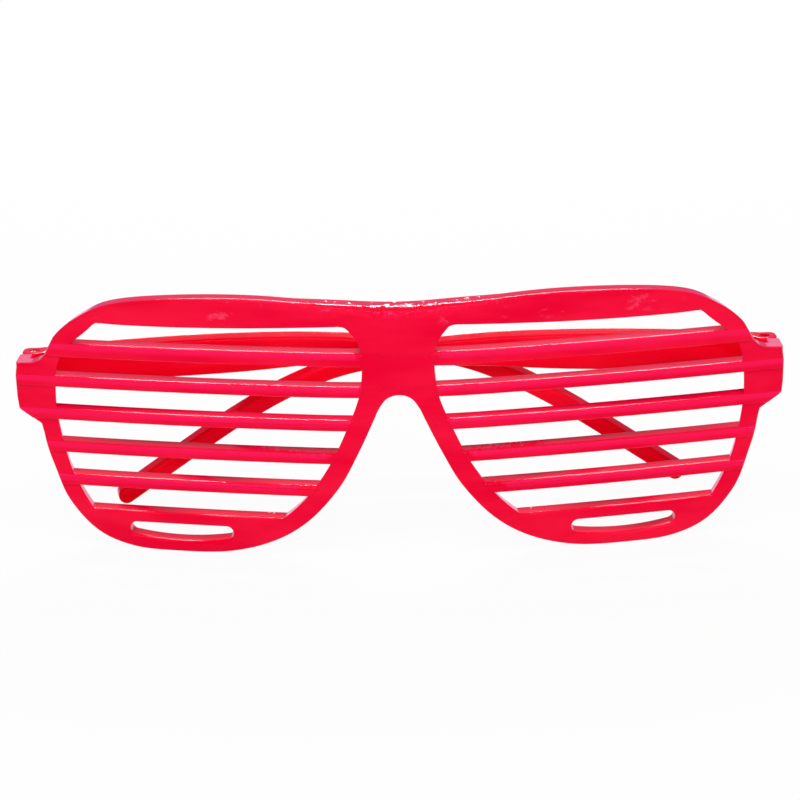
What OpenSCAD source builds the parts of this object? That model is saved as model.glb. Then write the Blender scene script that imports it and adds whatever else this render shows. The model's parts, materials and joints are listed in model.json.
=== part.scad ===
// Party glasses: a one-piece slatted front with two folding temples on hinge pins.
// The glasses stand upright on the feet of the rims, face to -Y, with the temples folded.
// Left and right are the wearer's, so left is +X. Sizes are in millimetres.

/* [Front] */
// Width over the two end pieces
front_w = 150; // [148:1:156]
// Height from the foot of the rims to the top edge
front_h = 51.5; // [50:0.5:54]
// Width over the two rims, without the end pieces
rim_w = 140.6; // [137:0.2:142]
// Depth of the rims and slats from front to back
front_depth = 4; // [3:0.1:5]
// How far the top edge dips at the middle
brow_dip = 1.5; // [0.8:0.1:2.2]
// Height of the brow above the top sight gap
brow_h = 5.7; // [4.6:0.1:6.4]
// Width of the rim beside the sight gaps, on the outer side
side_rim_w = 2.8; // [2:0.1:3.6]
// Width of the rim beside the sight gaps, on the nose side
nose_rim_w = 4; // [3.2:0.1:5]
// Width of the bridge web between the two lens openings
web_w = 13.9; // [12:0.1:16]
// Height of the top of the nose notch above the foot
notch_top = 33.3; // [31:0.1:35]
// Depth of the thickened bridge from front to back
bridge_depth = 6; // [5:0.1:8]
// Half the width over which the bridge is thickened
bridge_half_w = 20; // [14:0.5:24]

/* [Curve of the front] */
// Radius of the front face across the bridge
bridge_face_r = 105; // [90:1:130]
// Half the width of the bridge curve
bridge_curve_half_w = 17; // [14:0.5:20]
// Radius of the front face across each lens
lens_face_r = 520; // [450:10:700]

/* [Slats] */
// Number of slats in each lens opening
slat_count = 5; // [3:1:5]
// Height of the underside of the lowest slat
slat_z = 12.7; // [12:0.1:13.4]
// Distance from one slat to the next
slat_pitch = 6.66; // [6.4:0.02:6.8]
// Height of a slat
slat_h = 1.98; // [1.6:0.02:2.3]
// Height of the top slat
top_slat_h = 2.5; // [2:0.1:2.9]
// How far the slats stand proud of the rims
slat_relief = 0.25; // [0.1:0.05:0.25]
// Height of the top of the solid panel under the lowest sight gap
panel_top = 7.45; // [7:0.05:8]
// Height of the raised rib along the top of the panel
panel_rib_h = 1.5; // [1:0.1:1.6]
// Length of the drain slot in the panel
slot_l = 21; // [14:0.5:24]
// How far the middle of the drain slot lies from the foot of the rim, towards the nose
slot_in = 1; // [0:0.5:2]
// Height of the drain slot at its ends
slot_end_h = 3; // [2:0.1:3.2]
// Height of the top edge of the drain slot above the foot
slot_top = 5.85; // [5.6:0.05:6]
// Extra height of the drain slot at its middle
slot_belly = 0.75; // [0.2:0.05:1]

/* [End pieces] */
// Height of the end piece
lug_h = 9.35; // [8:0.1:11]
// Height of the top of the end piece above the foot
lug_top = 36.85; // [35.5:0.1:38]
// Radius of the fillet between the end piece and the rim
lug_fillet_r = 4; // [2:0.5:4.5]
// Drop of the sloped underside of the end piece
lug_slope = 2.7; // [1.5:0.1:3.5]
// Thickness of the arm that runs back from the end piece to the hinge
arm_t = 2.6; // [2.4:0.1:3]

/* [Hinge] */
// Distance from the foremost point of the front curve back to the hinge axis
hinge_y = 23.7; // [23:0.1:26]
// Radius of the hinge knuckle round its pin
knuckle_r = 2.45; // [2.3:0.05:2.6]
// How far the knuckle lies inside the outer face of the arm
knuckle_in = 0.15; // [0.05:0.05:0.3]
// Rounding of the square heel of the knuckle
heel_r = 0.8; // [0.4:0.1:1.2]
// Clearance of the round tongue slot beyond the corner of the heel
slot_gap = 0.2; // [0.1:0.05:0.4]
// Height of the tongue of the front between the two temple leaves
tongue_h = 2.4; // [2:0.1:3]
// How far the tongue lies inside the knuckle
tongue_in = 0.1; // [0.05:0.05:0.2]
// Diameter of the hinge pin
pin_d = 2; // [1.6:0.1:2.2]
// Length of the hinge pin
pin_l = 5.8; // [5.4:0.1:5.8]
// Radial clearance between the pin and the bore of the tongue
pin_clearance = 0.05; // [0.02:0.01:0.08]
// Radial clearance between the pin and the bores of the temple
seat_clearance = 0.02; // [0.01:0.01:0.04]
// Clearance between the tongue and the leaves, above and below
leaf_clearance = 0.15; // [0.1:0.05:0.25]
// Gap between the arm and the heel of the open temple
stop_gap = 0.2; // [0.15:0.05:0.4]
// Depth of the left pin below the top of its knuckle
left_pin_sink = 1.1; // [0.8:0.1:1.2]
// Depth of the right pin below the top of its knuckle
right_pin_sink = 0.2; // [0.1:0.1:0.8]

/* [Temples] */
// Distance from the hinge pin to the tip, measured along the front
temple_l = 129.5; // [126:0.5:131]
// Thickness of a temple
temple_t = 2.9; // [2.4:0.1:3]
// Height of a temple at the hinge
temple_end_h = 7; // [6.8:0.1:7.6]
// Height of a temple near its widest place
temple_h = 7.3; // [6.4:0.1:8]
// Height of a temple across its hook
hook_h = 3.8; // [3:0.1:4.4]
// Drop from the top of the knuckle to the lowest point of the tip
hook_drop = 29.8; // [27:0.2:31]
// Clearance between the top of the knuckle and the top of the end piece
knuckle_drop = 0.2; // [0:0.1:0.6]
// Angle by which the folded left temple leans towards the front
left_fold = 3.5; // [3.5:0.1:3.8]
// Angle by which the folded right temple leans towards the front
right_fold = 0; // [0:0.1:0.2]

/* [Hidden] */

plastic = "crimson";
steel = "silver";

round_fn = 48;
face_fn = 720;
spans = 4;
over = 1;

half_w = front_w / 2;
rim_x = rim_w / 2;
web_x = web_w / 2;
foot_x = rim_x - 26.1;
hinge_x = half_w - knuckle_in - knuckle_r;
arm_x = half_w - arm_t;
arm_end_y = hinge_y - knuckle_r - stop_gap;
lug_z = lug_top - lug_h;
knuckle_top = lug_top - knuckle_drop;
knuckle_z = knuckle_top - temple_end_h;
tongue_z = knuckle_z + (temple_end_h - tongue_h) / 2;
heel_corner = heel_r + sqrt(2) * (knuckle_r - heel_r);
slot_r = heel_corner + slot_gap;
tongue_r = knuckle_r - tongue_in;
origin_y = (slat_relief + hinge_y + knuckle_r) / 2;

// Angle at which the bridge curve hands over to the lens curve, and where
bridge_angle = asin(bridge_curve_half_w / bridge_face_r);
bridge_y = bridge_face_r * (1 - cos(bridge_angle));
lens_cx = bridge_curve_half_w - lens_face_r * sin(bridge_angle);
lens_cy = bridge_y + lens_face_r * cos(bridge_angle);

// How far the front face lies behind its foremost point, at x on the lens curve
function lens_face_y(x) = lens_cy - sqrt(pow(lens_face_r, 2) - pow(x - lens_cx, 2));
arm_start_y = lens_face_y(half_w) + slat_relief + over;

// Smooth curve through control points
function curve_point(a, b, c, d, t) =
    ((-a + 3 * b - 3 * c + d) * pow(t, 3) + (2 * a - 5 * b + 4 * c - d) * pow(t, 2) + (c - a) * t + 2 * b) / 2;
function closed_curve(p, n) = [
    for (i = [0 : len(p) - 1], k = [0 : n - 1])
        curve_point(p[(i + len(p) - 1) % len(p)], p[i], p[(i + 1) % len(p)], p[(i + 2) % len(p)], k / n)
];
function open_curve(p, n) = [
    for (i = [0 : len(p) - 2], k = [0 : n - 1])
        curve_point(p[max(i - 1, 0)], p[i], p[i + 1], p[min(i + 2, len(p) - 1)], k / n),
    p[len(p) - 1]
];
function mirrored(p) = [for (i = [len(p) - 2 : -1 : 1]) [-p[i][0], p[i][1]]];

// Right-hand half of the rim outline, from the middle of the brow to the top of the notch
rim_half = [
    [0, front_h - brow_dip],
    [14, front_h - brow_dip / 2],
    [29, front_h],
    [rim_x - 26, front_h - 0.5],
    [rim_x - 14.8, front_h - 2],
    [rim_x - 7.8, front_h - 5.2],
    [rim_x - 3.3, front_h - 9.1],
    [rim_x - 1.2, front_h - 13.5],
    [rim_x, 29.5],
    [rim_x - 0.6, 21.8],
    [rim_x - 2.2, 16],
    [rim_x - 4.9, 9.6],
    [rim_x - 10.3, 3.7],
    [rim_x - 17.5, 0.75],
    [foot_x, 0],
    [foot_x - 10.5, 0.75],
    [25, 3.4],
    [18, 7.9],
    [12, 14.7],
    [8.2, notch_top - 11.8],
    [5.15, notch_top - 5.2],
    [4.1, notch_top - 2.8],
    [2.4, notch_top - 0.7],
    [0, notch_top],
];

// Opening of the right-hand lens, slats left out
lens_opening = [
    [web_x + 3.4, front_h - brow_h + 0.9],
    [21, front_h - brow_h + 0.45],
    [31, front_h - brow_h + 0.1],
    [rim_x - 27, front_h - brow_h - 0.1],
    [rim_x - 17, front_h - brow_h - 0.05],
    [rim_x - 12.4, front_h - brow_h],
    [rim_x - 9.8, front_h - brow_h - 2.1],
    [rim_x - side_rim_w - 4.6, front_h - 10.1],
    [rim_x - side_rim_w - 2, front_h - 12.8],
    [rim_x - side_rim_w - 0.6, front_h - 16.8],
    [rim_x - side_rim_w + 0.1, 28],
    [rim_x - side_rim_w - 0.5, 21.4],
    [rim_x - side_rim_w - 2.3, 14.6],
    [rim_x - side_rim_w - 6, 7.5],
    [rim_x - side_rim_w - 10, 4.2],
    [foot_x, 2.4],
    [26 + nose_rim_w, 4],
    [19.4 + nose_rim_w, 7.5],
    [13.9 + nose_rim_w, 12.7],
    [9.3 + nose_rim_w, 19.5],
    [5.7 + nose_rim_w, 27.2],
    [web_x + 0.7, notch_top - 0.4],
    [web_x, notch_top + 4],
    [web_x, front_h - brow_h - 4.4],
    [web_x + 1, front_h - brow_h - 1.1],
];

// Outline of the right-hand end piece, with its fillet up to the rim
lug_outline = concat(
    [[rim_x - 3, lug_z - lug_slope], [rim_x, lug_z - lug_slope], [half_w - 0.6, lug_z]],
    [[half_w, lug_z + 2.4], [half_w, lug_top - 2.8], [half_w - 0.5, lug_top]],
    [for (a = [270 : -15 : 180]) [
        rim_x - 1.9 + lug_fillet_r + lug_fillet_r * cos(a),
        lug_top + lug_fillet_r + lug_fillet_r * sin(a)
    ]],
    [[rim_x - 5, lug_top + lug_fillet_r]]
);

module both_sides() {
    children();
    mirror([1, 0, 0]) children();
}

// Stands a flat outline up, from y = 0 back to y = depth
module upright(depth) {
    translate([0, depth, 0]) rotate([90, 0, 0]) linear_extrude(depth) children();
}

// Curved sheet that the front is cut from, between two depths behind the front face
module face_sheet(near, far) {
    intersection() {
        translate([0, bridge_face_r, -over]) difference() {
            cylinder(r = bridge_face_r - near, h = front_h + 2 * over, $fn = face_fn);
            cylinder(r = bridge_face_r - far, h = front_h + 2 * over, $fn = face_fn);
        }
        translate([-bridge_curve_half_w, -over, -over])
            cube([2 * bridge_curve_half_w, hinge_y, front_h + 2 * over]);
    }
    both_sides() intersection() {
        translate([lens_cx, lens_cy, -over]) difference() {
            cylinder(r = lens_face_r - near, h = front_h + 2 * over, $fn = face_fn);
            cylinder(r = lens_face_r - far, h = front_h + 2 * over, $fn = face_fn);
        }
        translate([bridge_curve_half_w, -over, -over])
            cube([half_w - bridge_curve_half_w + over, hinge_y, front_h + 2 * over]);
    }
}

module rim_outline() {
    polygon(closed_curve(concat(rim_half, mirrored(rim_half)), spans));
    both_sides() polygon(lug_outline);
}

module opening_outline() {
    polygon(closed_curve(lens_opening, spans));
}

function slat_bottom(i) =
    i < slat_count - 1 ? slat_z + i * slat_pitch : slat_z + i * slat_pitch + slat_h - top_slat_h;
function slat_top(i) = slat_z + i * slat_pitch + slat_h;

// Strips of the slats and of the rib on the panel, from the nose rim out past the side
module slat_strips() {
    for (i = [0 : slat_count - 1])
        translate([0, slat_bottom(i)]) square([half_w + over, slat_top(i) - slat_bottom(i)]);
    translate([0, panel_top - panel_rib_h]) square([half_w + over, panel_rib_h]);
}

// Part of each strip that is raised: over the lens opening and the outer rim
module raised_zone() {
    opening_outline();
    translate([foot_x, -over]) square([half_w, front_h + 2 * over]);
}

// Slot in the panel, straight above and bellied below
module drain_slot() {
    r = slot_end_h / 2;
    reach = slot_l / 2 - r;
    belly_r = (pow(reach, 2) + pow(slot_belly, 2)) / (2 * slot_belly);
    translate([foot_x - slot_in, slot_top - r]) {
        both_sides() translate([reach, 0]) circle(r = r, $fn = round_fn);
        translate([-reach, -r]) square([2 * reach, 2 * r]);
        intersection() {
            translate([0, belly_r - r - slot_belly]) circle(r = belly_r, $fn = face_fn);
            translate([-reach, -r - over]) square([2 * reach, over + r]);
        }
    }
}

module gaps() {
    difference() {
        opening_outline();
        slat_strips();
        translate([0, -over]) square([half_w, panel_top + over]);
    }
    drain_slot();
}

module hinge_arm() {
    difference() {
        union() {
            translate([arm_x, arm_start_y, lug_z]) cube([arm_t, arm_end_y - arm_start_y, lug_h]);
            translate([hinge_x, hinge_y, tongue_z]) cylinder(r = tongue_r, h = tongue_h, $fn = round_fn);
            translate([hinge_x, arm_end_y - over, tongue_z])
                cube([tongue_r, hinge_y - arm_end_y + over, tongue_h]);
        }
        translate([hinge_x, hinge_y, tongue_z - over])
            cylinder(r = pin_d / 2 + pin_clearance, h = tongue_h + 2 * over, $fn = round_fn);
    }
}

module front_frame() {
    color(plastic) translate([0, -origin_y, 0]) {
        // Rims, brow and bridge
        intersection() {
            face_sheet(slat_relief, front_depth);
            upright(hinge_y) difference() {
                rim_outline();
                both_sides() gaps();
            }
        }
        // Flat-backed pad that thickens the bridge
        intersection() {
            face_sheet(slat_relief, bridge_depth + over);
            translate([-bridge_half_w, 0, notch_top]) cube([2 * bridge_half_w, bridge_depth, front_h]);
            upright(hinge_y) difference() {
                rim_outline();
                both_sides() opening_outline();
            }
        }
        // Slats, which run on over the outer rims
        intersection() {
            face_sheet(0, front_depth);
            upright(hinge_y) both_sides() intersection() {
                slat_strips();
                rim_outline();
                raised_zone();
            }
        }
        both_sides() hinge_arm();
    }
}

// Middle line of a temple seen from the side: distance from the pin, height below the
// knuckle top, and half the temple's height across the line
tip_r = hook_h / 2;
hook_start_z = -1.15;
function hook_point(back, share) = [
    temple_l - tip_r - back,
    hook_start_z - share * (hook_drop - tip_r + hook_start_z)
];
function with_half(p, half) = [p[0], p[1], half];
temple_line = [
    [0, -temple_end_h / 2, temple_end_h / 2],
    [20, -2.5, temple_h / 2 + 0.05],
    [40, -1.7, temple_h / 2 - 0.05],
    [58, hook_start_z, temple_h / 2 - 0.8],
    with_half(hook_point(52.6, 0.02), tip_r + 0.1),
    with_half(hook_point(42.6, 0.085), tip_r - 0.05),
    with_half(hook_point(32.6, 0.23), tip_r),
    with_half(hook_point(22.6, 0.435), tip_r),
    with_half(hook_point(12.6, 0.68), tip_r),
    with_half(hook_point(0, 1), tip_r),
];

// Points beside a line, at its half height above (side = 1) or below (side = -1)
function beside(line, side) = [
    for (i = [0 : len(line) - 1])
        let (a = line[max(i - 1, 0)], b = line[min(i + 1, len(line) - 1)],
             along = i == 0 ? [1, 0] : [b[0] - a[0], b[1] - a[1]])
            [line[i][0], line[i][1]] + side * line[i][2] * [-along[1], along[0]] / norm(along)
];
function reversed(p) = [for (i = [len(p) - 1 : -1 : 0]) p[i]];

module temple_side() {
    line = open_curve(temple_line, spans);
    polygon(concat(beside(line, 1), reversed(beside(line, -1))));
    translate(hook_point(0, 1)) circle(r = tip_r, $fn = round_fn);
}

// Knuckle round the pin, with a square heel that meets the arm when the temple is open
module knuckle() {
    cylinder(r = knuckle_r, h = temple_end_h, $fn = round_fn);
    translate([0, knuckle_r - temple_t, 0]) cube([slot_r + over, temple_t, temple_end_h]);
    translate([heel_r - knuckle_r, 0, 0]) cube([knuckle_r - heel_r, knuckle_r, temple_end_h]);
    translate([-knuckle_r, 0, 0]) cube([knuckle_r, knuckle_r - heel_r, temple_end_h]);
    translate([heel_r - knuckle_r, knuckle_r - heel_r, 0])
        cylinder(r = heel_r, h = temple_end_h, $fn = round_fn);
}

// Temple with its pin axis at the origin, folded along +X, knuckle top at z = 0
module temple() {
    difference() {
        union() {
            translate([0, knuckle_r - temple_t, 0]) upright(temple_t) temple_side();
            translate([0, 0, -temple_end_h]) knuckle();
        }
        // Slot for the tongue of the front
        translate([0, 0, tongue_z - knuckle_top - leaf_clearance])
            cylinder(r = slot_r, h = tongue_h + 2 * leaf_clearance, $fn = round_fn);
        translate([0, 0, -temple_end_h - over])
            cylinder(r = pin_d / 2 + seat_clearance, h = temple_end_h + 2 * over, $fn = round_fn);
    }
}

// Pin with its axis on z, its top at the given depth below the knuckle top
module pin(sink) {
    translate([0, 0, -sink - pin_l]) cylinder(r = pin_d / 2, h = pin_l, $fn = round_fn);
}

module at_left_hinge() {
    translate([hinge_x, hinge_y - origin_y, knuckle_top]) rotate([0, 0, left_fold])
        mirror([1, 0, 0]) children();
}
module at_right_hinge() {
    translate([-hinge_x, hinge_y - origin_y, knuckle_top]) rotate([0, 0, -right_fold]) children();
}

module left_temple() {
    color(plastic) at_left_hinge() temple();
}
module right_temple() {
    color(plastic) at_right_hinge() temple();
}
module left_hinge_pin() {
    color(steel) at_left_hinge() pin(left_pin_sink);
}
module right_hinge_pin() {
    color(steel) at_right_hinge() pin(right_pin_sink);
}

front_frame();
left_temple();
right_temple();
left_hinge_pin();
right_hinge_pin();
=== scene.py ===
"""Slatted party glasses: the moulded front, two folding temples and two hinge pins.

The glasses stand on the feet of the rims at z = 0 and face -Y. Left and right are the
wearer's, so left is +X. Shapes are drawn in millimetres, measured back from the foremost
point of the front, and are brought to metres in the frame's place when they are finished.
"""

import json
import math

import bmesh
import bpy
from bpy.props import FloatProperty, FloatVectorProperty, IntProperty, PointerProperty
from mathutils import Matrix, Vector


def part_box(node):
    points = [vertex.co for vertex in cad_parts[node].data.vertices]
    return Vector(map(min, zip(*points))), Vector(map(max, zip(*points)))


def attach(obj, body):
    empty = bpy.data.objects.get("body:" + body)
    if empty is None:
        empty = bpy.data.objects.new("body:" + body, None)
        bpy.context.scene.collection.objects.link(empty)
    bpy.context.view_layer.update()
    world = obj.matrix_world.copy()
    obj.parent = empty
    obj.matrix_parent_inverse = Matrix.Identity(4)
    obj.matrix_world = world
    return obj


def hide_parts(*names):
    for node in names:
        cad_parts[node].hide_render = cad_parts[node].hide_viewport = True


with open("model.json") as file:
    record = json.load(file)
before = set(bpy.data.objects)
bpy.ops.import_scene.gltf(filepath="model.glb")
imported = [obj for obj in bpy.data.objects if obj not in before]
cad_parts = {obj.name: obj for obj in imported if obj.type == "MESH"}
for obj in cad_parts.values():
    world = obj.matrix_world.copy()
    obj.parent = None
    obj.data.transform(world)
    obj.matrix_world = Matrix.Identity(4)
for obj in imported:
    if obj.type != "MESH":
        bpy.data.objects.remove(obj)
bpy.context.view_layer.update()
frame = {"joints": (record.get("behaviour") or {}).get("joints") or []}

bl_info = {
    "name": "Party Glasses",
    "version": (1, 0, 0),
    "blender": (4, 5, 0),
    "location": "3D View > Sidebar > Glasses",
    "description": "Slatted party glasses with folding temples",
    "category": "Add Mesh",
}

MM = 0.001

# The frame's origin lies this far behind the foremost point of the front, in millimetres
ORIGIN_DEPTH = 13.2

# Front, in millimetres
HALF_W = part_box("front_frame")[1][0] / MM
FRONT_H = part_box("front_frame")[1][2] / MM
FRONT_DEPTH = 4.0
SLAT_RELIEF = 0.25
RIM_X = 70.3
SIDE_RIM_X = RIM_X - 3.2
FOOT_X = RIM_X - 26.1
NOSE_RIM_X = 25.0
NOTCH_TOP = 33.0
BROW_Z = FRONT_H - 5.85
BROW_DIP = 50.0

# Bridge: its web, the corner where the web meets the brow, and the pad behind it
WEB_X = 6.95
CORNER_X = WEB_X + 3.3
BRIDGE_DEPTH = 6.0
BRIDGE_HALF_W = 20.0
PAD_INSET = 0.06

# Mould draft: how far the back of a rim is drawn in, the x where it starts on the outer
# side of a lens, and the height over which it fades out beside the web
DRAFT = 0.7
DRAFT_FROM_X = 45.0
DRAFT_FADE = 4.0

# Curve of the front: radius across the bridge, out to a half width, and across a lens
BRIDGE_R = 105.0
BRIDGE_CURVE_HALF_W = 17.0
LENS_R = 520.0

# Slats: the lowest height of the bottom one, the step to the next and their own heights
SLAT_Z = 12.6
SLAT_PITCH = 6.66
SLAT_H = 2.12
TOP_SLAT_H = 2.6
SLAT_COUNT = 5
PANEL_TOP = 7.75
SLAT_BACK_GAP = 0.08
SLAT_END_IN = 0.45
SLAT_END_OUT = 0.08

# Drain slot in each panel
SLOT_MID_X = FOOT_X - 1.0
SLOT_TOP = 5.6
SLOT_END_H = 2.7
SLOT_HALF_L = 10.3
SLOT_BELLY = 0.75

# End pieces and the arms that run back from them
LUG_TOP = 36.85
LUG_Z = 27.5
LUG_SLOPE = 2.7
LUG_FILLET_R = 4.0
LUG_FILLET_X = RIM_X + 2.1
ARM_T = 2.6
ARM_START = 1.5
ARM_INSET = 0.03

# Hinges
HINGE_X, HINGE_Y, HINGE_Z = (p / MM for p in frame["joints"][0]["pos_m"])
HINGE_DEPTH = HINGE_Y + ORIGIN_DEPTH
KNUCKLE_R = 2.45
KNUCKLE_H = 7.0
KNUCKLE_TOP = HINGE_Z + KNUCKLE_H / 2
HEEL_R = 1.4
ARM_END = HINGE_DEPTH - KNUCKLE_R - 0.2
TONGUE_R = 2.35
TONGUE_H = 2.4
LEAF_CLEARANCE = 0.15
FORK_R = 3.34
PIN_R = 1.0
PIN_L = 5.8
PIN_LAND = 0.35
DIMPLE_SLOPE = 0.3
PIN_ROUND = 0.12
LEAF_BORE_R = 1.02
TONGUE_BORE_R = 1.05
LEFT_PIN_SINK = 1.1
RIGHT_PIN_SINK = 0.2

# Temples
TEMPLE_L = 129.5
TEMPLE_DROP = 29.8
TEMPLE_T = 2.9
TOP_FALL = 0.75
TIP_R = 1.9
LEFT_FOLD = math.radians(3.5)
RIGHT_FOLD = 0.0

# Slack in comparisons of depths and where the front is cut, in millimetres
SLACK = 1e-4

# Points from one control point of a smooth outline to the next, faces across the rounded
# edges of the temples' bars and of the knuckles and pins, and sides of a cylinder
CURVE_STEPS = 6
BAR_ROUND_STEPS = 6
SMALL_ROUND_STEPS = 3
CYLINDER_SEGMENTS = 64

# Edges that turn by more than these angles, in degrees, are rounded or shaded sharp
ROUNDED_ANGLE = 50
SHARP_ANGLE = 38

# Plastic: refraction, tints of its reflections, and its sheen
PLASTIC_IOR = 1.5
FRONT_TINT = (1, 0.033, 0.24, 1)
TEMPLE_TINT = (1, 0.02, 0.1, 1)
SHEEN_WEIGHT = 0.4
SHEEN_ROUGHNESS = 0.3

# Shades of the plastic: what red is multiplied by, and what green and blue gain
PALE = (1.04, 0.006, 0.012)
# Painted highlight: the pale pink band along the upper half of each slat
SLAT_HIGHLIGHT_PAINT = (1.03, 0.008, 0.05)
# Painted glints: paler speckles on the brow's upper front
BROW_GLINT_PAINT = (1.05, 0.07, 0.14)
DEEP = 0.93
# Painted reflection: the colour of the pale tops of the arms
ARM_TOP_REFLECTION_PAINT = (0.95, 0.17, 0.28, 1)

# Marks on the front: a painted highlight on the slats, painted glints on the brow, a painted
# reflection on the arms' tops, and the zones of the ripple and the pressed patch.
# Steps are shares of the way from one slat's top to the next, and the rest is in metres: where a
# mark starts, is full, begins to fade and ends.
SLAT_HIGHLIGHT_PAINT_STEPS = (0.76, 0.9, 0.97, 0.99)
SLAT_HIGHLIGHT_PAINT_ROWS = (0.0125, 0.0127, 0.0415, 0.0418)
SLAT_HIGHLIGHT_PAINT_EDGE = (0.0, 0.001)
EDGE_STEPS = (0.84, 0.9)
EDGE_ROWS_END = (0.0425, 0.043)
BROW_EDGE = (-0.0022, -0.0012)
FACE_END = (-0.0115, -0.0108)
BROW_GLINT_PAINT_Z = (0.0462, 0.0474)
BROW_GLINT_PAINT_X = (0.007, 0.009)
PRESSED_Z = (0.0484, 0.0489)
PRESSED_X_END = (0.004, 0.009)
ARM_TOP_REFLECTION_X = (0.0713, 0.072)
RIPPLE_X_END = (0.012, 0.042)

# How far the front face falls back for its width, and the curve of the nose rims, which
# leave the web below this height: the marks follow both
FACE_SLANT = 0.17
NOSE_CURVE_TOP = 0.0365
NOSE_CURVE = 25.0

# Lamps: place, and width and height, in metres. All shine at the middle.
MIDDLE = (0, 0, 0.03)
KEY_PLACE, KEY_SIZE = (0, -0.44, 0.85), (0.95, 0.06)
BACK_PLACE, BACK_SIZE = (0, 0.9, 0.65), (0.5, 0.12)
FILL_PLACE, FILL_SIZE = (0, -1.0, 0.45), (1.2, 0.8)
FLOOR_HALF_SIZE = 4

# Camera, fitted to the photograph, in metres
CAMERA_PLACE = (0.00512, -0.4472, 0.168)
CAMERA_TARGET = (0.0002, -0.0132, 0.03219)
CAMERA_ROLL = math.radians(-1.41)
SENSOR_WIDTH = 36


def number(name, description, values, **more):
    """Property that holds a number. The values are its default, its least and its most."""
    default, least, most = values
    return FloatProperty(
        name=name, description=description, default=default, min=least, max=most, **more
    )


def length(name, description, values, **more):
    """Property that holds a length in metres."""
    return number(name, description, values, unit="LENGTH", **more)


def power(name, description, default):
    """Property that holds the power of a lamp."""
    return FloatProperty(name=name, description=description, default=default, min=0.0, unit="POWER")


def hue(name, description, default):
    """Property that holds a colour."""
    return FloatVectorProperty(
        name=name, description=description, default=default, min=0.0, max=1.0, subtype="COLOR"
    )


class FrontSettings(bpy.types.PropertyGroup):
    """Sizes of the front that a user may change."""

    rim_round: length(
        "Rim Rounding",
        "Radius along the front edges of the rims where they look up",
        (0.0006, 0.0003, 0.0009),
    )
    slat_round: length(
        "Slat Rounding", "Radius along the upper front edges of the slats", (0.0007, 0.0003, 0.0009)
    )
    crisp_round: length(
        "Crisp Rounding", "Radius along the other edges of the front", (0.00018, 0.0001, 0.0003)
    )
    bridge_round: length(
        "Bridge Rounding",
        "What the rounding along the upper edge gains at the middle of the bridge",
        (0.0015, 0.0, 0.0025),
    )
    round_steps: IntProperty(
        name="Rounding Steps", description="Faces across each rounded edge", default=4, min=1, max=8
    )
    column_width: length(
        "Column Width",
        "Width of the columns that the curve of the front is made of",
        (0.0025, 0.001, 0.006),
    )


class TempleSettings(bpy.types.PropertyGroup):
    """Sizes of the temples and pins that a user may change."""

    inner_round: length(
        "Inner Rounding",
        "Radius along the upper edge of a temple on the side of the head",
        (0.0008, 0.0003, 0.0015),
    )
    outer_round: length(
        "Outer Rounding", "Radius along the other edges of a temple", (0.00035, 0.0002, 0.0009)
    )
    knuckle_round: length(
        "Knuckle Rounding",
        "Radius round the top and bottom of a knuckle",
        (0.00035, 0.0001, 0.0006),
    )
    pin_dimple: length(
        "Pin Dimple", "Depth of the dimple in the end of a hinge pin", (0.0004, 0.0, 0.0008)
    )


class FinishSettings(bpy.types.PropertyGroup):
    """Colours and surfaces of the plastic and the steel."""

    front_colour: hue("Front Colour", "Colour of the plastic of the front", (0.86, 0.0005, 0.025))
    temple_colour: hue(
        "Temple Colour", "Colour of the plastic of the temples", (0.88, 0.0005, 0.017)
    )
    sheen_tint: hue(
        "Sheen Tint", "Tint of the soft sheen seen at a glancing angle", (0.85, 0.02, 1.0)
    )
    roughness: number("Roughness", "Roughness of the moulded plastic", (0.1, 0.02, 0.6))
    ripple_depth: length(
        "Ripple Depth",
        "Height of the fine ripple that breaks up the highlights",
        (0.00045, 0.0, 0.0015),
        precision=6,
    )
    steel_colour: hue("Steel Colour", "Colour of the hinge pins", (0.55, 0.53, 0.52))


class StageSettings(bpy.types.PropertyGroup):
    """Lights, floor and camera."""

    key_power: power("Key Light", "Power of the soft light above the front", 5.1)
    back_power: power("Back Light", "Power of the soft light behind and above the glasses", 8.5)
    fill_power: power("Fill Light", "Power of the soft light from the camera's side", 5.5)
    ambient: number("Ambient", "Strength of the light from all round", (0.22, 0.0, 1.0))
    floor_colour: hue("Floor Colour", "Colour of the floor", (0.7, 0.7, 0.7))
    floor_white: number(
        "Floor White",
        "Share of plain white that the camera sees on the floor",
        (0.94, 0.0, 1.0),
        subtype="FACTOR",
    )
    lens: number("Lens", "Focal length of the camera", (108.0, 20.0, 300.0), unit="CAMERA")


def clamped(value):
    """The value, kept from 0 to 1."""
    return min(max(value, 0), 1)


def eased(size, share):
    """The share of a size, with a soft start and end."""
    return size * share * share * (3 - 2 * share)


def smooth_run(before, start, end, after):
    """Points of a smooth curve from start up to end, which it leaves out."""

    def at(t, a, b, c, d):
        cubic, square = -a + 3 * b - 3 * c + d, 2 * a - 5 * b + 4 * c - d
        return (cubic * t**3 + square * t**2 + (c - a) * t + 2 * b) / 2

    near = list(zip(before, start, end, after))
    return [[at(step / CURVE_STEPS, *axis) for axis in near] for step in range(CURVE_STEPS)]


def smooth_loop(points):
    """Closed smooth curve through points."""
    count = len(points)
    loop = []
    for i in range(count):
        near = [points[(i + k) % count] for k in (-1, 0, 1, 2)]
        loop += smooth_run(*near)
    return loop


def smooth_line(points):
    """Open smooth curve through points."""
    last = len(points) - 1
    line = []
    for i in range(last):
        near = [points[min(max(i + k, 0), last)] for k in (-1, 0, 1, 2)]
        line += smooth_run(*near)
    return line + [list(points[last])]


def arc(centre, radius, start, end, steps):
    """Points along an arc, with the angles in degrees."""
    points = []
    for step in range(steps + 1):
        angle = math.radians(start + (end - start) * step / steps)
        points.append([centre[0] + radius * math.cos(angle), centre[1] + radius * math.sin(angle)])
    return points


def mirrored(points):
    """The same outline on the other side, in reverse order."""
    return [[-x, z] for x, z in reversed(points)]


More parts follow.
